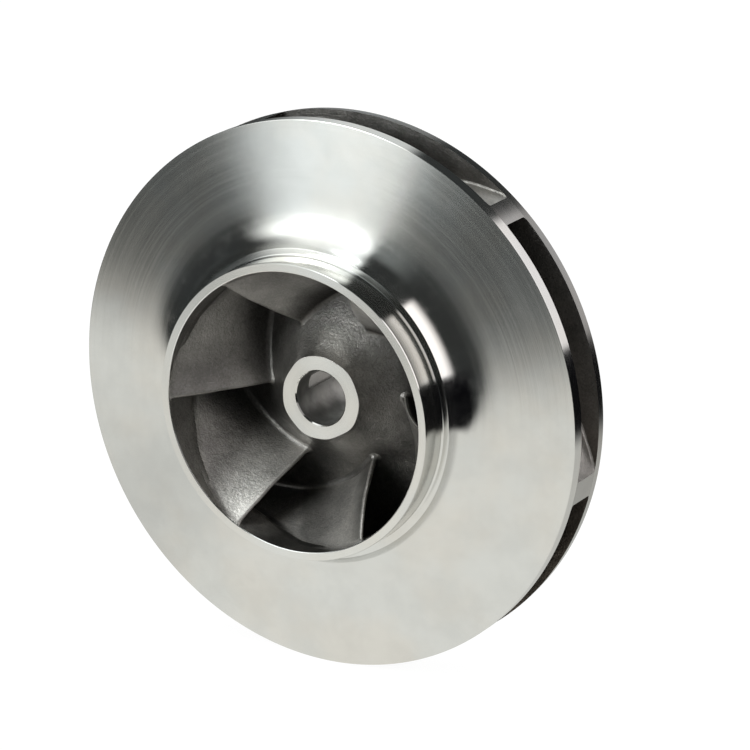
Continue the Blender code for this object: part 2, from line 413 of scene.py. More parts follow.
def eased(corners):
    """A closed outline, its corners rounded by their easing, as (radius, height, finish)."""
    outline = []
    for i, (r, h, easing, finish) in enumerate(corners):
        if easing == 0.0:
            outline.append((r, h, finish))
            continue
        here = np.array((r, h))
        back = unit(np.array(corners[i - 1][:2]) - here)
        ahead = unit(np.array(corners[(i + 1) % len(corners)][:2]) - here)
        half = math.acos(np.clip(back @ ahead, -1.0, 1.0)) / 2
        start = here + back * easing / math.tan(half)
        end = here + ahead * easing / math.tan(half)
        centre = here + unit(back + ahead) * easing / math.sin(half)
        for t in EASING_SHARES:
            spoke = unit((start - centre) * (1.0 - t) + (end - centre) * t)
            outline.append((*(centre + spoke * easing), finish))
    return outline


def wave(point, size, seed):
    """A slow wave between -1 and 1 at a point, whose bumps are about a size across."""
    return noise.noise(Vector(point) / size + Vector((seed, seed, seed)))


def finished_mesh(name, points, faces, finish, smooth_limit):
    """A mesh with a finish for each face, smooth except over sharp bends and where two finishes meet."""
    mesh = bpy.data.meshes.new(name)
    mesh.from_pydata(points.tolist(), [], faces)
    for material in finishes():
        mesh.materials.append(material)
    mesh.polygons.foreach_set("material_index", finish)
    mesh.validate()
    mesh.update()
    mesh.shade_smooth()
    mesh.set_sharp_from_angle(angle=math.radians(smooth_limit))
    met = {}
    for face in mesh.polygons:
        for edge in face.edge_keys:
            met.setdefault(edge, set()).add(face.material_index)
    sharp = mesh.attributes.get("sharp_edge") or mesh.attributes.new("sharp_edge", "BOOLEAN", "EDGE")
    for edge in mesh.edges:
        if len(met.get(edge.key, ())) > 1:
            sharp.data[edge.index].value = True
    face_outward(mesh)
    return mesh


def face_outward(mesh):
    """Turn the faces of a closed mesh outward."""
    form = bmesh.new()
    form.from_mesh(mesh)
    bmesh.ops.recalc_face_normals(form, faces=form.faces)
    form.to_mesh(mesh)
    form.free()


def add_piece(mesh, slot, *nodes):
    """Put a piece in the scene: it rides on the part's body and stands for nodes; the slot is not used."""
    piece = bpy.data.objects.new(mesh.name, mesh)
    bpy.context.scene.collection.objects.link(piece)
    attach(piece, "root")
    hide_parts(*nodes)


def lathe(radii, heights, angles):
    """World points of rings, from radii and heights in millimetres for each ring and angle."""
    x = radii * np.cos(angles)
    z = radii * np.sin(angles)
    return np.stack([x, -heights, z], axis=-1) * MM


def ring_faces(rings, columns):
    """Quads between each ring and the next, and from the last ring back to the first."""
    faces = []
    for i in range(rings):
        low, high = i * columns, (i + 1) % rings * columns
        for k in range(columns):
            after = (k + 1) % columns
            faces.append((low + k, low + after, high + after, high + k))
    return faces


def whole_faces(faces, kinds):
    """Faces and their finishes, with no corner named twice in a face and no face without area."""
    pairs = [(tuple(dict.fromkeys(face)), kind) for face, kind in zip(faces, kinds)]
    pairs = [(face, kind) for face, kind in pairs if len(face) > 2]
    return [face for face, _ in pairs], [kind for _, kind in pairs]


def welded(points, faces):
    """Points, with those that coincide made one, and the faces between them."""
    places, kept, index = {}, [], []
    for point in points:
        key = tuple(np.round(point, WELD_DIGITS))
        if key not in places:
            places[key] = len(kept)
            kept.append(point)
        index.append(places[key])
    return np.array(kept), [tuple(index[corner] for corner in face) for face in faces]


def ramp(value, low, high):
    """Smooth step from 0 at low to 1 at high."""
    t = np.clip((value - low) / (high - low), 0.0, 1.0)
    return t * t * (3.0 - 2.0 * t)


def wall_normals(outline):
    """A normal of each point of an outline of (radius, height)."""
    along = np.gradient(outline, axis=0)
    across = np.stack([-along[:, 1], along[:, 0]], axis=-1)
    return across / np.linalg.norm(across, axis=1)[:, None]


def cast_waves(outline, angles, first, last, height):
    """Radii and heights of rings, with slow waves from the first to the last cast one, fading out at both."""
    spots = np.array([corner[:2] for corner in outline])
    normals = wall_normals(spots)
    radii = np.repeat(spots[:, :1], len(angles), axis=1)
    heights = np.repeat(spots[:, 1:2], len(angles), axis=1)
    lengths = np.concatenate([[0.0], np.cumsum(np.linalg.norm(np.diff(spots, axis=0), axis=1))])
    for i in range(first, last + 1):
        fade = min(1.0, (lengths[i] - lengths[first]) / WAVE_FADE, (lengths[last] - lengths[i]) / WAVE_FADE)
        if fade <= 0.0:
            continue
        r, h = spots[i]
        for k, angle in enumerate(angles):
            at = (r * math.cos(angle), h, r * math.sin(angle))
            lift = height * fade * (wave(at, *CAST_WAVE) + RIPPLE_SHARE * wave(at, *CAST_RIPPLE))
            radii[i, k] += normals[i, 0] * lift
            heights[i, k] += normals[i, 1] * lift
    return radii, heights


class Nodes:
    """Adds nodes to a tree and joins them."""

    def __init__(self, tree):
        self.tree = tree
        tree.nodes.clear()

    def add(self, kind, inputs=(), **settings):
        """A node, with its settings, and its inputs by name or number: values or other nodes' outputs."""
        node = self.tree.nodes.new(kind)
        for key, value in settings.items():
            setattr(node, key, value)
        for key, value in dict(inputs).items():
            if isinstance(value, bpy.types.NodeSocket):
                self.tree.links.new(value, node.inputs[key])
            else:
                node.inputs[key].default_value = value
        return node

    def math(self, operation, *values):
        """A Math node's result."""
        return self.add("ShaderNodeMath", dict(enumerate(values)), operation=operation).outputs[0]

    def vector(self, operation, *values):
        """A Vector Math node's result."""
        node = self.add("ShaderNodeVectorMath", dict(enumerate(values)), operation=operation)
        return node.outputs["Value" if operation in ("DOT_PRODUCT", "LENGTH") else "Vector"]

    def step(self, value, low, high, to_low=0.0, to_high=1.0):
        """A smooth step of a value between two limits."""
        node = self.add("ShaderNodeMapRange", {0: value, 1: low, 2: high, 3: to_low, 4: to_high},
                        interpolation_type="SMOOTHSTEP")
        return node.outputs[0]

    def span(self, value, low, high, to_low=0.0, to_high=1.0):
        """A straight ramp of a value between two limits, flat outside them."""
        node = self.add("ShaderNodeMapRange", {0: value, 1: low, 2: high, 3: to_low, 4: to_high})
        return node.outputs[0]

    def within(self, value, *edges):
        """How far a value is inside all of its soft edges, each from no to full."""
        return self.product(*[self.step(value, *edge) for edge in edges])

    def bend(self, value, points):
        """A line through points of (value, result), flat outside them."""
        result = points[0][1]
        for (low, first), (high, second) in zip(points, points[1:]):
            result = self.math("ADD", self.span(value, low, high, 0.0, second - first), result)
        return result

    def product(self, *values):
        """The product of values."""
        result = values[0]
        for value in values[1:]:
            result = self.math("MULTIPLY", result, value)
        return result

    def glow(self, power, tint):
        """A tint times a power."""
        node = self.add("ShaderNodeVectorMath", {0: tint, "Scale": power}, operation="SCALE")
        return node.outputs[0]

    def noise(self, vector, scale, detail, roughness):
        """A noise value between 0 and 1."""
        node = self.add("ShaderNodeTexNoise", {"Vector": vector, "Scale": scale, "Detail": detail,
                                               "Roughness": roughness})
        return node.outputs[0]

    def mix(self, share, first, second):
        """A colour between two."""
        node = self.add("ShaderNodeMix", data_type="RGBA")
        for socket, value in ((node.inputs[0], share), (node.inputs[6], first), (node.inputs[7], second)):
            if isinstance(value, bpy.types.NodeSocket):
                self.tree.links.new(value, socket)
            else:
                socket.default_value = value
        return node.outputs[2]


def rgba(color, factor=1.0):
    """A colour with an alpha of one."""
    return (color[0] * factor, color[1] * factor, color[2] * factor, 1.0)


def turned_steel(name, color, roughness, turning):
    """Steel turned on a lathe: fine rings about the shaft axis, faint stains, tints and smudges.

    The neck and flare, nearer the axis than the face, are smudged, and have their roughness times the polish.
    """
    material = bpy.data.materials.new(name)
    material.use_nodes = True
    n = Nodes(material.node_tree)
    place = n.add("ShaderNodeTexCoord").outputs["Object"]
    x, y, z = n.add("ShaderNodeSeparateXYZ", {0: place}).outputs
    radius = n.vector("LENGTH", n.add("ShaderNodeCombineXYZ", {0: x, 2: z}).outputs[0])
    around = n.vector("CROSS_PRODUCT", place, (0.0, 1.0, 0.0))
    # rings that drift a little off true
    track = n.math("ADD", radius, n.math("MULTIPLY", n.noise(place, *DRIFT_NOISE), DRIFT))
    turns = n.add("ShaderNodeCombineXYZ", {0: track, 1: y}).outputs[0]
    fine = n.noise(turns, *FINE_GROOVES)
    coarse = n.noise(turns, *COARSE_GROOVES)
    relief = n.math("ADD", n.math("MULTIPLY", fine, FINE_SHARE), coarse)
    bump = n.add("ShaderNodeBump", {"Strength": turning.groove, "Distance": GROOVE_DEPTH, "Height": relief})
    # stains and tints
    stain = n.step(n.noise(place, *STAIN_NOISE), *STAIN_STEP)
    tone = n.mix(stain, rgba(color, 1.0 - turning.mottle), rgba(color, 1.0 + turning.mottle))
    warm = n.step(n.noise(n.vector("ADD", place, TINT_SHIFT), *TINT_NOISE), *TINT_STEP)
    shade = n.vector("MULTIPLY", tone, n.mix(warm, WARM, COOL))
    # roughness, with smudges on the polished neck and flare
    polished = n.step(radius, *POLISHED_RADIUS)
    smudge = n.product(n.step(n.noise(place, *SMUDGE_NOISE), *SMUDGE_STEP),
                       n.step(radius, *SMUDGE_RADIUS), n.step(y, *SMUDGE_FRONT), polished)
    rough = n.math("ADD", n.math("MULTIPLY", coarse, GROOVE_ROUGHNESS), roughness - GROOVE_ROUGHNESS / 2)
    rough = n.math("ADD", rough, n.math("MULTIPLY", smudge, SMUDGE_ROUGHNESS))
    rough = n.math("MULTIPLY", rough, n.span(polished, 0.0, 1.0, 1.0, turning.polish))
    shader = n.add("ShaderNodeBsdfPrincipled", {
        "Base Color": shade, "Metallic": 1.0, "Roughness": rough, "Anisotropic": turning.anisotropy,
        "Anisotropic Rotation": QUARTER_TURN, "Tangent": around, "Normal": bump.outputs[0]})
    n.add("ShaderNodeOutputMaterial", {0: shader.outputs[0]})


def painted_light_and_shade(n, coordinates, tone):
    """A cast tone with painted light on faces that look up, up and left, and up and ahead, darker where one
    looks straight up, and painted shade deep in the passages and low down.
    """
    x, y, z = n.add("ShaderNodeSeparateXYZ", {0: coordinates["Object"]}).outputs
    radius = n.vector("LENGTH", n.add("ShaderNodeCombineXYZ", {0: x, 2: z}).outputs[0])
    rightward, _, upward = n.add("ShaderNodeSeparateXYZ", {0: coordinates["Normal"]}).outputs
    # painted light and shade by which way a face looks: lighter as it looks further up, darker where it looks
    # straight up
    tone = n.glow(n.product(n.step(upward, *UPWARD_TONE), n.step(upward, *LEVEL_TONE)), tone)
    # painted light on faces that look up and to the left
    left = n.product(n.step(upward, *LEFT_UPWARD), n.span(rightward, *LEFT_RIGHTWARD))
    # painted light on faces that look up and ahead, turned little to either side
    painted_light_ahead = n.product(n.step(upward, *PAINTED_LIGHT_UPWARD), n.within(rightward, *PAINTED_LIGHT_RIGHTWARD))
    light = n.product(n.span(left, 0.0, 1.0, 1.0, LEFT_TONE), n.span(painted_light_ahead, 0.0, 1.0, 1.0, PAINTED_LIGHT_TONE))
    # painted shade deep in the passages, towards the rear wall, weaker low down
    deep = n.product(n.within(radius, *DEEP_RADIUS), n.step(y, *DEEP_BACK), n.step(z, *DEEP_HEIGHT))
    tone = n.glow(n.product(light, n.span(deep, 0.0, 1.0, 1.0, DEEP_TONE)), tone)
    # painted shade, darker and a little warmer, low down in the outer passages
    low = n.product(n.step(radius, *LOW_RADIUS), n.step(z, *LOW_HEIGHT))
    return n.mix(low, tone, n.vector("MULTIPLY", tone, LOW_TINT))


def cast_steel(name, color, roughness, with_painted_light_and_shade):
    """Steel as cast and shot blasted: a fine grain and an uneven tone, with painted light and shade when
    wanted.
    """
    material = bpy.data.materials.new(name)
    material.use_nodes = True
    n = Nodes(material.node_tree)
    coordinates = n.add("ShaderNodeTexCoord").outputs
    place = coordinates["Object"]
    grain = n.noise(place, *GRAIN_NOISE)
    clots = n.noise(place, *CLOT_NOISE)
    patch = n.noise(place, *PATCH_NOISE)
    mottle = n.math("ADD", n.math("MULTIPLY", patch, PATCH_SHARE),
                    n.math("MULTIPLY", grain, 1.0 - PATCH_SHARE))
    tone = n.mix(n.step(mottle, *MOTTLE_STEP), rgba(color, 1.0 - MOTTLE), rgba(color, 1.0 + MOTTLE))
    # painted light and shade, by which way a face looks and where it lies
    if with_painted_light_and_shade:
        tone = painted_light_and_shade(n, coordinates, tone)
    rough = n.math("ADD", n.math("MULTIPLY", clots, CLOT_ROUGHNESS), roughness - CLOT_ROUGHNESS / 2)
    relief = n.math("ADD", grain, n.math("MULTIPLY", clots, CLOT_RELIEF))
    bump = n.add("ShaderNodeBump", {"Strength": BLAST_STRENGTH, "Distance": BLAST_DEPTH, "Height": relief})
    shader = n.add("ShaderNodeBsdfPrincipled", {
        "Base Color": tone, "Metallic": CAST_METALLIC, "Roughness": rough, "Normal": bump.outputs[0]})
    n.add("ShaderNodeOutputMaterial", {0: shader.outputs[0]})


def finishes():
    """The steel's finishes in slot order, made once."""
    if FINISH_NAMES[0] not in bpy.data.materials:
        look = bpy.context.scene.steel_finish
        for finish, turning in TURNINGS.items():
            turned_steel(FINISH_NAMES[finish], rgba(look.turned_color, turning.tone),
                         look.turned_roughness + turning.roughening, turning)
        cast_steel(FINISH_NAMES[CAST], look.cast_color, look.cast_roughness, True)
        cast_steel(FINISH_NAMES[PALER], rgba(look.cast_color, PALER_TONE), look.cast_roughness, False)
    return [bpy.data.materials[name] for name in FINISH_NAMES]


def front_face():
    """The front shroud's turned side, from the shoulder's edge to the rim: its flare and its face."""
    steep = math.radians(FLARE_START_SLOPE)
    pull = (FLARE_START_PULL * math.cos(steep), -FLARE_START_PULL * math.sin(steep))
    start = on_cone(FRONT_RIM_FACE, FACE_SLOPE, FLARE_RADIUS)
    flare = bezier((SHOULDER_RADIUS, SHOULDER_HEIGHT), (SHOULDER_RADIUS + pull[0], SHOULDER_HEIGHT + pull[1]),
                   on_cone(FRONT_RIM_FACE, FACE_SLOPE, FLARE_RADIUS - FLARE_END_PULL), start, FLARE_STEPS)
    return flare, straight(start, (RIM_RADIUS, FRONT_RIM_FACE), FACE_STEPS)


class IMPELLER_OT_front_shroud(bpy.types.Operator):
    """Add the front shroud with its suction neck"""

    bl_idname = "impeller.front_shroud"
    bl_label = "Front Shroud"

    def execute(self, context):
        sizes = context.scene.impeller_sizes
        flare, face = front_face()
        wall = eye_wall()[::-1]
        mouth = [(NECK_RADIUS - inset, EYE_FRONT - back) for inset, back in MOUTH_EDGE]
        neck = [(NECK_RADIUS, EYE_FRONT - MOUTH_STRAIGHT), (NECK_RADIUS, NECK_FOOT + FOOT_STRAIGHT)]
        outline = eased(path([(EYE_RADIUS, EYE_FRONT)], RING, sizes.edge_break / MM)
                        + path(mouth, TURNED, MOUTH_EASE) + path(neck, TURNED)
                        + path([(NECK_RADIUS, NECK_FOOT)], TURNED, NECK_FOOT_EASE)
                        + path(flare[:1], TURNED, SHOULDER_EASE)
                        + path(flare[1:], TURNED) + path(face[1:-1], TURNED)
                        + path([(RIM_RADIUS, FRONT_RIM_FACE)], TURNED, RIM_EASE)
                        + path([(RIM_RADIUS, PASSAGE_FRONT)], CAST) + path(wall[1:-1], CAST))
        first = next(i for i, corner in enumerate(outline) if corner[:2] == (RIM_RADIUS, PASSAGE_FRONT))
        angles = np.linspace(0.0, 2 * math.pi, sizes.columns, endpoint=False)
        radii, heights = cast_waves(outline, angles, first, len(outline) - 1, sizes.cast_waves / MM)
        points = lathe(radii, heights, angles).reshape(-1, 3)
        kinds = np.repeat([corner[2] for corner in outline], len(angles))
        faces = ring_faces(len(outline), len(angles))
        mesh = finished_mesh("front_shroud_casting", points, faces, kinds, TURNED_SMOOTH_LIMIT)
        add_piece(mesh, "turned_steel", "front_shroud")
        return {"FINISHED"}


def keyed_angles(columns):
    """Angles round the bore: even ones, with those inside the keyway's width set on its corners."""
    half_mouth = math.degrees(math.asin(KEYWAY_WIDTH / 2 / BORE_RADIUS))
    inner = np.linspace(-half_mouth, half_mouth, KEYWAY_POINTS)
    outer = np.linspace(half_mouth, 360.0 - half_mouth, columns - KEYWAY_POINTS + 2)[1:-1]
    return np.radians(np.concatenate([inner, outer]) + KEYWAY_ANGLE)


def keyed_loop(radius, angles):
    """Radii and angles of the bore's outline with its keyway, each point beside one of the plain circle's."""
    radii = np.full(len(angles), radius)
    turned = angles.copy()
    side = KEYWAY_WIDTH / 2
    mouth = math.sqrt(BORE_RADIUS ** 2 - side ** 2)
    floor = BORE_RADIUS + KEYWAY_DEPTH
    for k in range(1, KEYWAY_POINTS - 1):
        share = k / (KEYWAY_POINTS - 1)
        inward = min(share, 1.0 - share) / KEYWAY_SIDE_SHARE
        x = mouth + (floor - mouth) * min(inward, 1.0)
        y = side * np.clip((share - 0.5) / (0.5 - KEYWAY_SIDE_SHARE), -1.0, 1.0)
        radii[k] = math.hypot(x, y)
        turned[k] = math.radians(KEYWAY_ANGLE) + math.atan2(y, x)
    return radii, turned


def nose_wander(angles):
    """How the edge of the nose's turned ring leaves a circle, for each angle."""
    return sum(size * np.sin(count * angles + start) for size, count, start in NOSE_WANDER)


class IMPELLER_OT_rear_casting(bpy.types.Operator):
    """Add the hub and the rear shroud, in one, with the keyed bore"""

    bl_idname = "impeller.rear_casting"
    bl_label = "Hub and Rear Shroud"

    def execute(self, context):
        sizes = context.scene.impeller_sizes
        angles = keyed_angles(sizes.columns)
        wall = hub_wall()
        foot = [(BOSS_RADIUS + BOSS_FILLET - BOSS_FILLET * math.sin(a), REAR_SHROUD_BACK - BOSS_FILLET
                 + BOSS_FILLET * math.cos(a)) for a in np.radians(np.arange(0, 91, BOSS_FILLET_TURN))]
        back = straight((RIM_RADIUS - REAR_FACE_START, REAR_SHROUD_BACK), foot[0], REAR_FACE_STEPS)
        bore = [(BORE_RADIUS, BORE_CHAMFER), (BORE_RADIUS, KEYWAY_LENGTH), (BORE_RADIUS, KEYWAY_LENGTH)]
        outline = eased(path([(HUB_NOSE_RADIUS, HUB_FRONT)], CAST, NOSE_EASE) + path(wall[1:-1], CAST)
                        + path([(RIM_RADIUS, PASSAGE_REAR)], RIM)
                        + path([(RIM_RADIUS - REAR_RIM_TAPER, REAR_SHROUD_BACK)], TURNED, RIM_EASE)
                        + path(back[:-1], TURNED) + path(foot, TURNED)
                        + path([(BOSS_RADIUS, 0.0)], RING, BOSS_EASE)
                        + path([(BORE_RADIUS + BORE_CHAMFER, 0.0)], TURNED) + path(bore, BORE)
                        + path([(BORE_RADIUS, HUB_FRONT - BORE_CHAMFER)], TURNED)
                        + path([(BORE_RADIUS + BORE_CHAMFER, HUB_FRONT)], RING))
        last = next(i for i, corner in enumerate(outline) if corner[:2] == (RIM_RADIUS, PASSAGE_REAR))
        radii, heights = cast_waves(outline, angles, len(EASING_SHARES), last, sizes.cast_waves / MM)
        wander = nose_wander(angles) * sizes.nose_ring_wander / MM
        for i, corner in enumerate(outline[:last]):
            radii[i] += wander * (1.0 - ramp(corner[0], HUB_NOSE_RADIUS, HUB_NOSE_RADIUS + NOSE_WANDER_REACH))
        # the keyway runs from the rear chamfer to the first of the two rings at its blind end
        turns = np.repeat(angles[None, :], len(outline), axis=0)
        for i in KEYED_RINGS:
            radii[i], turns[i] = keyed_loop(outline[i][0], angles)
        kinds = np.repeat([[corner[2]] for corner in outline], len(angles), axis=1)
        kinds[KEYED_RINGS[1], KEYWAY_BRIGHT] = RIM
        faces = ring_faces(len(outline), len(angles))
        points, faces = welded(lathe(radii, heights, turns).reshape(-1, 3), faces)
        faces, kinds = whole_faces(faces, kinds.ravel().tolist())
        mesh = finished_mesh("rear_casting", points, faces, kinds, TURNED_SMOOTH_LIMIT)
        add_piece(mesh, "cast_steel", "rear_shroud", "hub")
        return {"FINISHED"}


class VaneForm:
    """Middle surface of a vane: lines from a foot on the rear wall to a head on the front wall."""

    def __init__(self):
        self.hub = self.measured(hub_wall(WALL_SAMPLES))
        self.eye = self.measured(eye_wall(WALL_SAMPLES))
        nearest = np.argmin(abs(self.hub[0][:, 0] - LEAD_HUB_RADIUS))
        self.hub_start = self.hub[1][nearest]
        self.eye_start = LEAD_EYE_DEPTH

    @staticmethod
    def measured(line):
        """A line's points and its length up to each."""
        return line, np.concatenate([[0.0], np.cumsum(np.linalg.norm(np.diff(line, axis=0), axis=1))])

    @staticmethod
    def on_line(line, start, law, turn):
        """Points of a wall where a vane has made a share of its turn."""
        slope, power = law
        passed = slope * turn + (1.0 - slope) * np.maximum(turn, 0.0) ** power
        spots, lengths = line
        at = np.clip(start + (lengths[-1] - start) * passed, FOOT_START, lengths[-1])
        return np.stack([np.interp(at, lengths, spots[:, 0]), np.interp(at, lengths, spots[:, 1])], axis=-1)

    def ends(self, turn):
        """Foot and head of the vane's line at a share of its turn."""
        return (self.on_line(self.hub, self.hub_start, HUB_LINE, turn),
                self.on_line(self.eye, self.eye_start, EYE_LINE, turn))

    def middle(self, turn, share):
        """A point of the middle surface, as (radius, height), a share of the way from foot to head."""
        foot, head = self.ends(turn)
        bow = LEAD_BOW * 4.0 * share * (1.0 - share) * np.maximum(0.0, 1.0 - turn / LEAD_BOW_SHARE) ** 2
        point = foot + (head - foot) * share[..., None]
        point[..., 1] += bow * (share > 0.0) * (share < 1.0)
        return point


def wall_slant(form, turn, at_head):
    """How squarely the vane's line meets a wall: the sine of their angle."""
    foot, head = form.ends(turn)
    along = form.ends(turn + SLANT_STEP)[at_head] - form.ends(turn - SLANT_STEP)[at_head]
    across = head - foot
    cross = along[..., 0] * across[..., 1] - along[..., 1] * across[..., 0]
    return abs(cross) / (np.linalg.norm(along, axis=-1) * np.linalg.norm(across, axis=-1) + TINY)


def fillet_growth(distance, radius):
    """How much a fillet adds to half a vane's thickness at a distance from the wall."""
    reach = np.clip(radius - distance, 0.0, radius)
    return radius - np.sqrt(radius ** 2 - reach ** 2)


def vane_rows(form, turn, hub_fillet, eye_fillet):
    """Shares along the vane's line, rows for each turn, with each row's distance from both walls."""
    foot, head = form.ends(turn)
    length = np.linalg.norm(head - foot, axis=-1)
    at_hub = np.clip(wall_slant(form, turn, 0), LEAST_SLANT, 1.0)
    at_eye = np.clip(wall_slant(form, turn, 1), LEAST_SLANT, 1.0)
    steps = np.array((-WALL_DIP, *FILLET_STEPS))
    low = np.where(steps < 0, -WALL_DIP, steps * hub_fillet[:, None]) / at_hub[:, None]
    high = np.where(steps < 0, -WALL_DIP, steps * eye_fillet[:, None]) / at_eye[:, None]
    middle = np.linspace(0.0, 1.0, MIDDLE_ROWS + 2)[1:-1]
    start, end = low[:, -1:], length[:, None] - high[:, -1:]
    between = start + (end - start) * middle
    spots = np.concatenate([low, between, length[:, None] - high[:, ::-1]], axis=1)
    return spots / length[:, None], spots * at_hub[:, None], (length[:, None] - spots) * at_eye[:, None]


def vane_points(form, sizes):
    """Rings of points round the vane's section, as (radius, angle, height) for each ring point and row."""
    nose = sizes.nose_thickness / MM
    turns = np.concatenate([np.linspace(0.0, NOSE_TURN, NOSE_TURN_POINTS)[:-1],
                            np.linspace(NOSE_TURN, 1.0, TURN_POINTS)])
    loop = np.concatenate([turns[::-1], np.zeros(NOSE_STEPS - 1), turns])
    swing = np.linspace(-90.0, 90.0, NOSE_STEPS + 1)[1:-1]
    swing = np.radians(np.concatenate([np.full(len(turns), -90.0), swing, np.full(len(turns), 90.0)]))
    outlet = sizes.outlet_fillet / MM
    inner = ramp(1.0 - loop, *FILLET_FADE)
    hub_fillet = outlet + (sizes.hub_fillet / MM - outlet) * inner
    eye_fillet = outlet + (sizes.eye_fillet / MM - outlet) * inner
    share, off_hub, off_eye = vane_rows(form, loop, hub_fillet, eye_fillet)
    turn = np.repeat(loop[:, None], share.shape[1], axis=1)
    half = (nose + (VANE_THICKNESS - nose) * np.minimum(turn / VANE_NOSE_SHARE, 1.0)) / 2
    half = half + fillet_growth(off_hub, hub_fillet[:, None]) + fillet_growth(off_eye, eye_fillet[:, None])
    # how fast the middle surface runs outward, and how it slants to the circle it crosses
    base = form.middle(turn, share)
    run = form.middle(np.minimum(turn + TURN_STEP, 1.0), share) - form.middle(turn - TURN_STEP, share)
    span = np.where(turn + TURN_STEP > 1.0, 1.0 - turn + TURN_STEP, 2 * TURN_STEP)
    pace = np.linalg.norm(run, axis=-1) / span
    slant = pace / np.hypot(pace, base[..., 0] * math.radians(VANE_WRAP))
    level = np.sqrt(1.0 - slant ** 2)
    # the section: round at the nose, then sheared about the axis
    ahead = half * np.cos(swing)[:, None]
    ahead[abs(ahead) < TINY] = 0.0
    across = half * np.sin(swing)[:, None]
    sheared = ramp(turn, *SHEAR_FADE)
    shift = -ahead * slant + (1.0 - sheared) * across * level
    around = ahead * level + (1.0 - sheared) * across * slant + sheared * across / slant
    moved = form.middle(turn + shift / pace, share)
    angle = math.radians(VANE_LEAD_ANGLE) - math.radians(VANE_WRAP) * turn + around / base[..., 0]
    return moved[..., 0], angle, np.minimum(moved[..., 1], EYE_FRONT - MOUTH_CLEARANCE)


def vane_skin(form, sizes):
    """Points, faces and finishes of one vane: a closed skin whose tail lies on the rim's cylinder."""
    radius, angle, height = vane_points(form, sizes)
    loop, rows = radius.shape
    waves = sizes.cast_waves / MM
    for i in range(loop):
        fade = min(1.0, (RIM_RADIUS - radius[i, 0]) / VANE_WAVE_FADE)
        for j in range(rows):
            at = (radius[i, j] * math.cos(angle[i, j]), height[i, j], radius[i, j] * math.sin(angle[i, j]))
            angle[i, j] += fade * waves * VANE_WAVE_SHARE * wave(at, *VANE_WAVE) / radius[i, j]
    tail = np.full(rows, RIM_RADIUS)
    tail[[0, -1]] -= 2 * TAIL_DIP
    radius[0] = radius[-1] = tail
    points = [lathe(radius, height, angle).reshape(-1, 3)]
    faces, kinds = [], []
    # both sides and the nose
    # the last stretch of the sides before the rim takes the paler copy of the cast steel
    paler = radius[:, FIRST_CLEAR_ROW] > PALER_RADIUS
    for i in range(loop - 1):
        for j in range(rows - 1):
            faces.append((i * rows + j, (i + 1) * rows + j, (i + 1) * rows + j + 1, i * rows + j + 1))
            kinds.append(PALER if paler[i] and paler[i + 1] else CAST)
    # the tail, between the loop's two ends
    rungs = (0, *range(loop, loop + TAIL_COLUMNS - 1), loop - 1)
    columns = [range(i * rows, (i + 1) * rows) for i in rungs]
    for column in range(1, TAIL_COLUMNS):
        share = column / TAIL_COLUMNS
        points.append(lathe(tail, height[0], angle[0] * (1 - share) + angle[-1] * share))
    for left, right in zip(columns, columns[1:]):
        for j in range(rows - 1):
            faces.append((left[j], left[j + 1], right[j + 1], right[j]))
            kinds.append(RIM)
    # the foot and the head, hidden in the walls
    for j in (0, rows - 1):
        faces.append((*[column[j] for column in reversed(columns)], rows + j, (loop - 2) * rows + j))
        for i in range(1, (loop - 1) // 2):
            rungs = (i, i + 1, loop - 2 - i, loop - 1 - i)
            faces.append(tuple(rung * rows + j for rung in rungs))
    kinds += [CAST] * (len(faces) - len(kinds))
    return np.vstack(points), *whole_faces(faces, kinds)


class IMPELLER_OT_vanes(bpy.types.Operator):
    """Add the six backward-swept vanes"""

    bl_idname = "impeller.vanes"
    bl_label = "Vanes"

    def execute(self, context):
        sizes = context.scene.impeller_sizes
        points, faces, kinds = vane_skin(VaneForm(), sizes)
        for k in range(VANE_COUNT):
            turn = Matrix.Rotation(-math.radians(360.0 / VANE_COUNT * k), 3, "Y")
            spun = points @ np.array(turn).T
            mesh = finished_mesh(f"vane_casting_{k + 1}", spun, faces, kinds, VANE_SMOOTH_LIMIT)
            add_piece(mesh, "cast_steel", f"vane_{k + 1}")
        return {"FINISHED"}


def camera_axes():
    """The camera's back, right and up directions, looking straight at the rim's centre."""
    a, e = math.radians(CAMERA_AZIMUTH), math.radians(CAMERA_HEIGHT)
    back = Vector((math.sin(a) * math.cos(e), -math.cos(a) * math.cos(e), math.sin(e)))
    right = Vector((math.cos(a), math.sin(a), 0.0))
    return back, right, back.cross(right)


def make_camera():
    """The camera at the photograph's viewing angle."""
    back, right, up = camera_axes()
    look = -back + CAMERA_AIM[0] * right + CAMERA_AIM[1] * up
    camera = bpy.data.objects.new("camera", bpy.data.cameras.new("camera"))
    bpy.context.scene.collection.objects.link(camera)
    camera.data.sensor_width = CAMERA_SENSOR
    camera.data.lens = CAMERA_LENS
    camera.data.clip_start, camera.data.clip_end = CAMERA_CLIP
    camera.location = Vector((0.0, -FRONT_RIM_FACE * MM, 0.0)) + back * CAMERA_DISTANCE
    camera.rotation_mode = "QUATERNION"
    camera.rotation_quaternion = look.to_track_quat("-Z", "Y")
    bpy.context.scene.camera = camera


def angle_between(n, opposite, adjacent):
    """The angle of a direction by two of its parts, in degrees."""
    return n.math("MULTIPLY", n.math("ARCTAN2", opposite, adjacent), DEGREES)


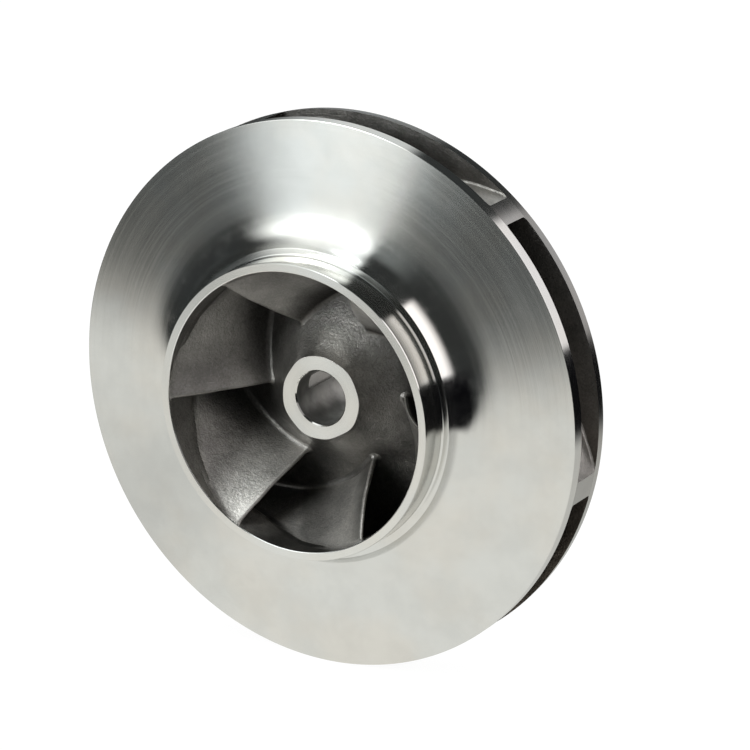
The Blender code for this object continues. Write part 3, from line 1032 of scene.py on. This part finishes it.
def make_room(light):
    """The studio as the steel sees it: a white table, an overhead softbox, a panel on the right and the dark.

    A direction is told by the face that would mirror it to the camera: by its slope from the part's front,
    and by its clock angle about the shaft axis.
    """
    world = bpy.data.worlds.new("studio")
    bpy.context.scene.world = world
    world.use_nodes = True
    n = Nodes(world.node_tree)
    direction = n.add("ShaderNodeTexCoord").outputs["Generated"]
    x, y, z = n.add("ShaderNodeSeparateXYZ", {0: direction}).outputs
    height = n.math("MULTIPLY", n.math("ARCSINE", z), DEGREES)
    azimuth = angle_between(n, x, n.math("MULTIPLY", y, -1.0))
    facing = n.vector("ADD", direction, tuple(camera_axes()[0]))
    x, y, z = n.add("ShaderNodeSeparateXYZ", {0: facing}).outputs
    tilt = n.vector("LENGTH", n.add("ShaderNodeCombineXYZ", {0: x, 2: z}).outputs[0])
    slope = angle_between(n, tilt, n.math("MULTIPLY", y, -1.0))
    clock = angle_between(n, z, x)
    # the unlit room, with a faint haze right of the softbox
    haze = n.product(n.within(clock, *HAZE_CLOCK), n.within(slope, *HAZE_SLOPE), light.haze)
    dark = n.step(slope, *DARK_SLOPE, light.dark * DARK_LIFT, light.dark)
    room = n.glow(n.math("ADD", haze, dark), UNLIT_TINT)
    # the overhead softbox
    middle = n.bend(slope, SOFTBOX_LEFT_EDGE)
    blur = n.span(slope, *SOFTBOX_LEFT_BLUR)
    left = n.step(clock, n.math("ADD", middle, blur), n.math("SUBTRACT", middle, blur))
    core = n.product(n.bend(slope, CORE_POWER), n.within(clock, *CORE_CLOCK))
    corner = n.product(n.bend(slope, CORNER_POWER), n.within(clock, CORNER_CLOCK))
    power = n.math("ADD", n.bend(slope, SOFTBOX_POWER), n.math("ADD", core, corner))
    softbox = n.glow(n.math("MULTIPLY", power, light.overhead), SOFTBOX_TINT)
    room = n.mix(n.product(left, n.within(clock, SOFTBOX_RIGHT_EDGE)), room, softbox)
    # the panel on the right
    panel = n.glow(n.math("MULTIPLY", n.bend(slope, PANEL_POWER), light.side), PANEL_TINT)
    room = n.mix(n.product(n.within(clock, *PANEL_CLOCK), n.within(slope, PANEL_SLOPE)), room, panel)
    # a soft light behind the part
    room = n.mix(n.product(n.within(slope, REAR_SLOPE), light.rear), room, WHITE)
    # the black gap under the panel
    gap = n.product(n.within(clock, GAP_CLOCK), n.within(slope, GAP_SLOPE), n.within(azimuth, GAP_AZIMUTH))
    room = n.mix(gap, room, GAP_COLOR)
    # the white table below the horizon
    below = n.step(n.math("SUBTRACT", n.bend(azimuth, HORIZON), height), -HORIZON_BLUR, HORIZON_BLUR)
    turned = n.math("ADD", clock, n.math("MULTIPLY", n.math("LESS_THAN", clock, 0.0), 360.0))
    power = n.product(n.bend(turned, TABLE_POWER), n.step(slope, *TABLE_SLOPE), light.table)
    room = n.mix(below, room, n.glow(power, TABLE_TINT))
    seen = n.add("ShaderNodeLightPath").outputs["Is Camera Ray"]
    shade = n.add("ShaderNodeBackground", {0: n.mix(seen, room, WHITE), 1: 1.0})
    n.add("ShaderNodeOutputWorld", {0: shade.outputs[0]})


def make_table():
    """A plain white table under the part."""
    turns = np.linspace(0, 2 * math.pi, TABLE_SIDES, False)
    edge = [(TABLE_RADIUS * math.cos(a), TABLE_RADIUS * math.sin(a), FLOOR_HEIGHT) for a in turns]
    mesh = bpy.data.meshes.new("floor")
    mesh.from_pydata(edge, [], [tuple(range(TABLE_SIDES))])
    material = bpy.data.materials.new("white table")
    material.use_nodes = True
    n = Nodes(material.node_tree)
    matt = n.add("ShaderNodeBsdfDiffuse", {0: TABLE_MATT})
    glow = n.add("ShaderNodeEmission", {0: TABLE_GLOW, 1: 1.0})
    both = n.add("ShaderNodeAddShader", {0: matt.outputs[0], 1: glow.outputs[0]})
    n.add("ShaderNodeOutputMaterial", {0: both.outputs[0]})
    mesh.materials.append(material)
    floor = bpy.data.objects.new("floor", mesh)
    bpy.context.scene.collection.objects.link(floor)
    floor.visible_glossy = False
    floor.visible_shadow = False


class IMPELLER_OT_studio(bpy.types.Operator):
    """Add the camera, the room's light and the table"""

    bl_idname = "impeller.studio"
    bl_label = "Studio"

    def execute(self, context):
        make_camera()
        make_room(context.scene.studio_light)
        make_table()
        context.scene.view_settings.view_transform = "Standard"
        return {"FINISHED"}


class IMPELLER_PT_sidebar(bpy.types.Panel):
    """The impeller's settings and pieces"""

    bl_label = "Impeller"
    bl_idname = "IMPELLER_PT_sidebar"
    bl_space_type = "VIEW_3D"
    bl_region_type = "UI"
    bl_category = "Impeller"

    def draw(self, context):
        scene = context.scene
        for settings in (scene.impeller_sizes, scene.steel_finish, scene.studio_light):
            box = self.layout.box()
            for name in settings.bl_rna.properties.keys():
                if name not in ("rna_type", "name"):
                    box.prop(settings, name)
        for operator in OPERATORS:
            self.layout.operator(operator.bl_idname)


OPERATORS = (IMPELLER_OT_front_shroud, IMPELLER_OT_rear_casting, IMPELLER_OT_vanes, IMPELLER_OT_studio)
CLASSES = (ImpellerSizes, SteelFinish, StudioLight, *OPERATORS, IMPELLER_PT_sidebar)


def register():
    """Register the classes and hang the settings on the scene."""
    for made in CLASSES:
        bpy.utils.register_class(made)
    bpy.types.Scene.impeller_sizes = bpy.props.PointerProperty(type=ImpellerSizes)
    bpy.types.Scene.steel_finish = bpy.props.PointerProperty(type=SteelFinish)
    bpy.types.Scene.studio_light = bpy.props.PointerProperty(type=StudioLight)


def unregister():
    """Take the settings off the scene and unregister the classes."""
    del bpy.types.Scene.studio_light
    del bpy.types.Scene.steel_finish
    del bpy.types.Scene.impeller_sizes
    for made in reversed(CLASSES):
        bpy.utils.unregister_class(made)


def main():
    """Build the impeller and its studio."""
    register()
    bpy.ops.impeller.front_shroud()
    bpy.ops.impeller.rear_casting()
    bpy.ops.impeller.vanes()
    bpy.ops.impeller.studio()


if __name__ == "__main__":
    main()
